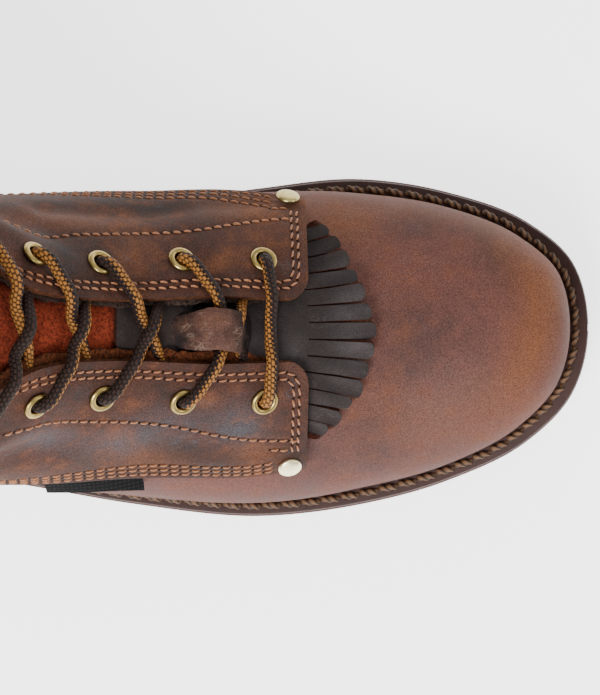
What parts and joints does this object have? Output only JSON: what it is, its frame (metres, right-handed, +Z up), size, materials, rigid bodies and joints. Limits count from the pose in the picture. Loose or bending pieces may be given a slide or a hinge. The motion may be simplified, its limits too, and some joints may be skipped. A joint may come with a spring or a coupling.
{
  "type": "lace-up work boot",
  "caption": "Right-foot lace-up leather work boot with a fringed kiltie, riveted lace flaps, brass eyelets, stitched welt and lugged rubber sole.",
  "frame": {"origin": "centre of the boot's bounding box in plan, on the floor under the sole", "axes": "+X from heel to toe, +Y to the wearer's left, which is this right boot's inner side, +Z up the shaft"},
  "size_m": [0.313, 0.1152, 0.2495],
  "materials": {
    "oiled_leather": "oiled pull-up leather, low sheen",
    "waxed_dark_leather": "waxed, low sheen",
    "rust_suede": "suede nap",
    "dark_welt": "smooth, dressed edge",
    "brown_midsole": "matte",
    "brown_rubber": "pebbled, matte",
    "insole_board": "matte",
    "antique_brass": "antiqued, satin",
    "lace_cord": "braided cord",
    "woven_tag": "woven, plain"
  },
  "bodies": {
    "root": {"outsole": "brown_rubber", "heel": "brown_rubber", "midsole": "brown_midsole", "welt": "dark_welt", "insole": "insole_board", "upper": "oiled_leather", "flap_inner": "oiled_leather", "flap_outer": "oiled_leather", "backstay": "oiled_leather", "tongue": "rust_suede", "kiltie": "waxed_dark_leather", "lace_keeper": "waxed_dark_leather", "side_tag": "woven_tag", "rivet_inner": "antique_brass", "rivet_outer": "antique_brass", "eyelet_inner_1": "antique_brass", "eyelet_inner_2": "antique_brass", "eyelet_inner_3": "antique_brass", "eyelet_inner_4": "antique_brass", "eyelet_inner_5": "antique_brass", "eyelet_inner_6": "antique_brass", "eyelet_inner_7": "antique_brass", "eyelet_inner_8": "antique_brass", "eyelet_outer_1": "antique_brass", "eyelet_outer_2": "antique_brass", "eyelet_outer_3": "antique_brass", "eyelet_outer_4": "antique_brass", "eyelet_outer_5": "antique_brass", "eyelet_outer_6": "antique_brass", "eyelet_outer_7": "antique_brass", "eyelet_outer_8": "antique_brass", "lace_bar": "lace_cord", "lace_cross_1": "lace_cord", "lace_cross_2": "lace_cord", "lace_cross_3": "lace_cord", "lace_cross_4": "lace_cord", "lace_cross_5": "lace_cord", "lace_cross_6": "lace_cord", "lace_cross_7": "lace_cord"}
  },
  "joints": []
}
